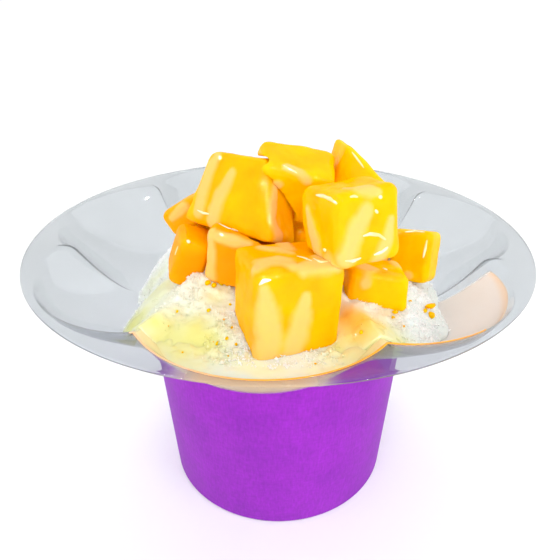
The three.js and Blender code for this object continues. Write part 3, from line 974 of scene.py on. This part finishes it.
def fluff_up(top, lemon, peach, dry):
    """Roughens the ice's top, most where it is dry, and sinks its front edge into the milk."""
    wet = np.maximum(near_spots(top, lemon), near_spots(top, peach))
    dryness = near_spots(top, dry)
    rough = np.clip(0.7 + 0.7 * dryness - 0.6 * wet, 0.15, 1.3)
    fluff = 0.6 * value_noise(top, 5.0, 1) + 0.55 * value_noise(top, 2.4, 2)
    fluff += 0.4 * value_noise(top, 1.2, 3)
    fluff += 0.9 * dryness * (0.5 - np.abs(value_noise(top, 2.0, 4)))
    bearing = bearing_of(top)
    out = radius_of(top) / ice_reach(bearing)
    in_front = 1 - smooth_step(24, 30, off_front_petal(bearing))
    sinking = in_front * smooth_step(0.9, 1.0, out)
    top[:, 2] += rough * fluff * (1 - 0.6 * sinking) - 0.75 * sinking


def make_ice():
    """The heap of snow, and the places on it where syrup soaked in and where it stayed dry."""
    bearings = full_turn(ICE_SIDES)
    rings, under = ice_rings(bearings, ragged_reach(bearings))
    tree = bare_tree(rings)
    lemon, peach, dry, mounds = (spots_on(tree, places) for places in (
        LEMON_SYRUP, PEACH_SYRUP, DRY_ICE, ICE_MOUNDS))
    top = rings[under:].reshape(-1, 3)
    raise_mounds(top, mounds)
    fluff_up(top, lemon, peach, dry)
    rings[under:] = top.reshape(rings[under:].shape)
    points, faces = ring_body(rings, (0, 0, WELL_FLOOR_HEIGHT - BEDDED),
                              (0, 0, rings[-1, :, 2].mean()))
    made = piece("shaved_ice", points, faces, SNOW)
    stain(made, points, lemon, peach)
    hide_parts("ice")
    return made, lemon, peach, dry


def stain(made, points, lemon, peach):
    """Paints how much syrup each point holds."""
    patchy = 1 + 0.3 * value_noise(points, 3.5, 5)
    paint(made, "lemon", np.clip(near_spots(points, lemon) * patchy, 0, 1))
    paint(made, "peach", np.clip(near_spots(points, peach) * patchy, 0, 1))


def flake_seats(random, tree, lemon, peach, dry):
    """Where loose crystals lie: in clumps, more where the ice is dry, and few where it is wet."""
    tries = FLAKES * TRIES_PER_FLAKE
    bearings = random.uniform(0, 2 * np.pi, tries)
    onto_milk = 1 - smooth_step(17, 22, off_front_petal(bearings))
    reach = ice_reach(bearings) * (1.01 + 0.07 * onto_milk)
    radii = np.sqrt(random.uniform(0.05, 1.0, tries)) * reach
    seats = [point_below(tree, place) for place in polar(radii, bearings, 0.0)]
    seats = np.array([seat for seat in seats if seat is not None])
    wet = np.maximum(near_spots(seats, lemon), near_spots(seats, peach))
    clumped = value_noise(seats, 4.0, 41)
    likely = 0.35 + 0.25 * clumped + 0.8 * near_spots(seats, dry) - 0.8 * wet
    return seats[random.uniform(0, 1, len(seats)) < likely][:FLAKES]


def broken_crystals(random, count):
    """Corners of small broken crystals, each an uneven octahedron that is turned at random."""
    octahedron = np.array([(1, 0, 0), (-1, 0, 0), (0, 1, 0), (0, -1, 0), (0, 0, 1), (0, 0, -1)])
    size = random.lognormal(-1.1, 0.4, (count, 1, 1))
    stretch = random.uniform(0.5, 1.3, (count, 6, 1)) * size
    crystals = octahedron[None] * stretch * random.uniform(0.3, 1.0, (count, 1, 3))
    turns = np.linalg.qr(random.normal(size=(count, 3, 3)))[0]
    return np.einsum("nij,nkj->nki", turns, crystals)


def make_flakes(tree, lemon, peach, dry):
    """Loose crystals of ice on the heap, most of them where the ice is dry."""
    random = np.random.default_rng(SEED)
    seats = flake_seats(random, tree, lemon, peach, dry)
    count = len(seats)
    crystals = broken_crystals(random, count)
    seats[:, 2] += random.uniform(-0.05, 0.35, count)
    points = (crystals + seats[:, None]).reshape(-1, 3)
    sides = [(0, 2, 4), (2, 1, 4), (1, 3, 4), (3, 0, 4), (2, 0, 5), (1, 2, 5), (3, 1, 5), (0, 3, 5)]
    faces = (np.array(sides)[None] + 6 * np.arange(count)[:, None, None]).reshape(-1, 3)
    made = piece("ice_flakes", points, faces, FLAKE, smooth=False)
    stain(made, points, lemon, peach)


def ball_body():
    """Points and faces of a small round body, half a unit in radius, for crumbs to be shaped from."""
    shape = bmesh.new()
    bmesh.ops.create_icosphere(shape, subdivisions=2, radius=0.5)
    points = np.array([tuple(vertex.co) for vertex in shape.verts])
    faces = np.array([[vertex.index for vertex in face.verts] for face in shape.faces])
    shape.free()
    return points, faces


def make_crumbs(tree, dry):
    """Scraps of mango on the ice: those that the photograph shows, and a few fine ones."""
    random = np.random.default_rng(SEED + 1)
    seats = [(seen_point(tree, u, v), size) for u, v, size in CRUMBS.values()]
    seats = [(seat, size) for seat, size in seats if seat is not None]
    for _ in range(LOOSE_SPECKS):
        centre, size, _ = dry[random.integers(len(dry))]
        seat = point_below(tree, centre[:2] + random.normal(0, 0.8 * size, 2))
        if seat is not None:
            seats.append((seat, random.uniform(0.35, 0.7)))
    ball, ball_faces = ball_body()
    points, faces = [], []
    for number, (seat, size) in enumerate(seats):
        crumb = ball * (1 + 0.35 * value_noise(ball, 0.35, 60 + number))[:, None]
        turn = np.linalg.qr(random.normal(size=(3, 3)))[0]
        crumb = crumb * size * random.uniform(0.6, 1.2, 3) @ turn
        points.append(crumb + seat + (0, 0, 0.2 * size))
        faces.append(ball_faces + number * len(ball))
    made = piece("mango_crumbs", np.concatenate(points), np.concatenate(faces), MANGO)
    paint(made, "milk", np.zeros(len(made.data.vertices)))
    paint(made, "ripe_and_shade", np.full(len(made.data.vertices), CRUMB_RIPENESS))


def make_milk(lemon, peach, dry):
    """The pool of milk on the front petal: slushy at the ice, creeping up the wall at the lip."""
    bearings = np.radians(np.linspace(*MILK_DEGREES, 100))
    wall = wall_radius(bearings, MILK_HEIGHT + MENISCUS_HEIGHT)
    shares = np.linspace(0, 1, 40)[:, None]
    radii = mix(ice_reach(bearings) - 2.0, np.maximum(wall, ice_reach(bearings)), shares)
    climb = MENISCUS_HEIGHT * np.exp(-(wall - radii) / MENISCUS_WIDTH)
    upper = polar(radii, bearings, np.broadcast_to(MILK_HEIGHT + climb, radii.shape))
    flat = upper.reshape(-1, 3)
    slush = 0.2 * value_noise(flat, 4.0, 11) + 0.25 * value_noise(flat, 1.8, 12)
    slush += near_spots(flat, dry) * (0.4 + 0.7 * value_noise(flat, 1.3, 13))
    upper[..., 2] += slush.reshape(radii.shape) * (1 - smooth_step(0.7, 1.0, shares))
    floor = np.minimum(soft_height(radii, bearings) - BEDDED, upper[..., 2] - 0.1)
    points, faces = sheet_body(upper, polar(radii, bearings, floor))
    made = piece("milk_pool", points, faces, MILK)
    stain(made, points, lemon, peach)
    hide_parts("milk")
    return made


def make_film(name, ends, level, thickness, material, fade):
    """A thin layer on a petal between two bearings, from the ice to where the petal is that high."""
    bearings = np.radians(np.linspace(*ends, 90))
    shares = np.linspace(0, 1, 40)[:, None]
    start = ice_reach(bearings) - 1.5
    uneven = 1.2 * value_noise(polar(60.0, bearings, 0.0), 9.0, 71)
    stop = np.maximum(wall_radius(bearings, level + uneven), start + 0.3)
    radii = mix(start, stop, shares)
    taper = np.sqrt(np.clip(1 - shares ** 6, 0, 1)) * np.ones_like(radii)
    floor = soft_height(radii, bearings)
    upper = polar(radii, bearings, floor + thickness * taper + 0.02)
    points, faces = sheet_body(upper, polar(radii, bearings, floor - BEDDED))
    made = piece(name, points, faces, material)
    near_edge = np.tile((smooth_step(0.88, 0.98, shares) * np.ones_like(radii)).ravel(), 2)
    paint(made, "edge", near_edge)
    along = np.linspace(0, 1, bearings.size)
    ends_off = smooth_step(0, fade, along) * (1 - smooth_step(1 - fade, 1, along))
    rim_off = 1 - fade * smooth_step(0.4, 1.0, shares)
    paint(made, "depth", np.tile((ends_off * rim_off).ravel(), 2))


def make_lip_refraction_line():
    """A painted refraction: a thin gold line, standing as juice, along the lips of the front and right
    petals.
    """
    degrees = np.linspace(-30.5, 41.0, 420)
    bearings = np.radians(degrees)
    # Painted refraction of the mango: peach towards the left, gold from the front onwards.
    refraction_gold = smooth_step(-16, -2, degrees)
    half_width = 0.35 + 0.45 * smooth_step(-30, -12, degrees) - 0.4 * smooth_step(2, 20, degrees)
    half_width *= 1 - smooth_step(30, 41, degrees) * 0.8
    half_width += 0.06 * value_noise(polar(80.0, bearings, 0.0), 3.0, 81)
    turn = full_turn(TUBE_SIDES)
    radii = (lip_radius(bearings) + 0.1)[:, None] + half_width[:, None] * np.cos(turn)
    heights = soft_height(radii, bearings[:, None]) + 0.28 * np.sin(turn)
    sections = polar(radii, bearings[:, None], heights)
    points, faces = tube_body(sections)
    made = piece("painted_lip_refraction_line", points, faces, LIP_REFRACTION)
    paint(made, "refraction_gold", np.repeat(refraction_gold, len(turn)))


def refined(name):
    """A CAD node's mesh with its flats and edges softened like cut fruit."""
    copy = bpy.data.objects.new(name + "_soft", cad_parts[name].data.copy())
    bpy.context.scene.collection.objects.link(copy)
    remesh = copy.modifiers.new("remesh", "REMESH")
    remesh.mode = "VOXEL"
    remesh.voxel_size = FLESH_VOXEL * MM
    smooth = copy.modifiers.new("smooth", "SMOOTH")
    smooth.factor = 0.6
    smooth.iterations = 5
    depsgraph = bpy.context.evaluated_depsgraph_get()
    mesh = bpy.data.meshes.new_from_object(copy.evaluated_get(depsgraph))
    bpy.data.objects.remove(copy)
    mesh.name = name + "_flesh"
    return mesh


def make_flesh(number, name):
    """A mango node's piece, whose cut faces wave a little."""
    mesh = refined(name)
    points = points_of(mesh)
    wobble = 0.45 * value_noise(points, 8.0, 20 + number) + 0.12 * value_noise(points, 2.5, 50)
    move_points(mesh, points + normals_of(mesh) * (wobble - 0.1)[:, None])
    made = dress(name + "_flesh", mesh, MANGO)
    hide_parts(name)
    return made


def runs_on(tree):
    """The milk's runs as stretches between points on the mango, with half the width at each."""
    runs = []
    for pixels in MILK_RUNS.values():
        found = [(seen_point(tree, u, v), width) for u, v, width in pixels]
        found = [(point, width) for point, width in found if point is not None]
        for (a, wide_a), (b, wide_b) in zip(found, found[1:]):
            half_pixel = np.linalg.norm((a + b) / 2 - CAMERA_PLACE) / PHOTO_SIZE / 2
            runs.append((a, b, wide_a * half_pixel, wide_b * half_pixel))
    return runs


def milk_cover(points, runs):
    """How much milk lies on each point, from 0 to 1, thin at a run's sides."""
    ragged = 0.22 * value_noise(points, 3.0, 31) + 0.1 * value_noise(points, 1.2, 32)
    cover = np.zeros(len(points))
    for a, b, half_a, half_b in runs:
        along = b - a
        share = np.clip((points - a) @ along / (along @ along), 0, 1)
        away = np.linalg.norm(points - a - share[:, None] * along, axis=1)
        half = mix(half_a, half_b, share)
        cover = np.maximum(cover, 1 - smooth_step(0.5, 1.5, away / half + ragged))
    return cover


def pour_milk(made, runs):
    """Paints a piece's ripeness with painted shade and its streaks of milk, and raises the streaks."""
    points = points_of(made.data)
    normals = normals_of(made.data)
    cover = milk_cover(points, runs)
    paint(made, "milk", STREAK_COVER * cover)
    ripeness_and_shade = RIPER_AND_SHADED.get(made.name.removesuffix("_flesh"), RIPENESS_AND_SHADE)
    paint(made, "ripe_and_shade", np.clip(ripeness_and_shade + 0.2 * value_noise(points, 6.0, 90), 0, 1))
    raised = STREAK_THICKNESS * smooth_step(0.1, 0.6, cover)
    move_points(made.data, points + normals * raised[:, None])


def make_mangos():
    names = sorted(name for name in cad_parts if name.startswith("mango"))
    mangos = [make_flesh(number, name) for number, name in enumerate(names)]
    runs = runs_on(tree_of(mangos))
    for made in mangos:
        pour_milk(made, runs)
    return mangos


def bead_body(tree, pixels, half_width):
    """Points and faces of a bead that stands on the mango along pixels of the photograph."""
    steps = np.linspace(0, len(pixels) - 1, BEAD_STEPS * (len(pixels) - 1))
    across = np.interp(steps, range(len(pixels)), [u for u, _ in pixels])
    down = np.interp(steps, range(len(pixels)), [v for _, v in pixels])
    hits = [tree.ray_cast(*sight_line(u, v)) for u, v in zip(across, down)]
    hits = [(np.array(hit[0]), np.array(hit[1])) for hit in hits if hit[0] is not None]
    seats = np.array([seat for seat, _ in hits])
    normals = np.array([normal for _, normal in hits])
    sides = np.cross(np.gradient(seats, axis=0), normals)
    sides /= np.linalg.norm(sides, axis=1, keepdims=True)
    swell = half_width * np.sqrt(np.sin(np.pi * np.linspace(0.04, 0.96, len(seats))))
    swell = (swell * (1 + 0.3 * value_noise(seats, 1.5, 95)))[:, None, None]
    turn = full_turn(TUBE_SIDES)[:, None]
    ring = sides[:, None] * np.cos(turn) + BEAD_FLATNESS * normals[:, None] * np.sin(turn)
    return tube_body(seats[:, None] + swell * ring)


def make_beads(mangos):
    """Thin beads of syrup that stand on the mango, catch the light, and are painted pale as highlights.
    """
    tree = tree_of(mangos)
    points, faces = [], []
    for pixels, half_width in SYRUP_BEADS.values():
        body, body_faces = bead_body(tree, pixels, half_width)
        offset = sum(len(part) for part in points)
        points.append(body)
        faces += [[k + offset for k in face] for face in body_faces]
    piece("syrup_beads", np.concatenate(points), faces, PALE_SYRUP)


make_stage()
make_cup()
make_dish()
ice, lemon, peach, dry = make_ice()
milk = make_milk(lemon, peach, dry)
fill_tree = tree_of([ice, milk])
make_flakes(fill_tree, lemon, peach, dry)
make_crumbs(fill_tree, dry)
make_film("petal_film", (22.6, 70.0), level=92.0, thickness=0.15, material=PALE_FILM, fade=0.02)
make_film("melt_film", (-40.0, -30.0), level=88.0, thickness=0.2, material=LEMON_FILM, fade=0.35)
make_film("sauce_film", (-30.4, 22.7), level=95.4, thickness=0.2, material=SAUCE_FILM, fade=0.02)
make_lip_refraction_line()
make_beads(make_mangos())
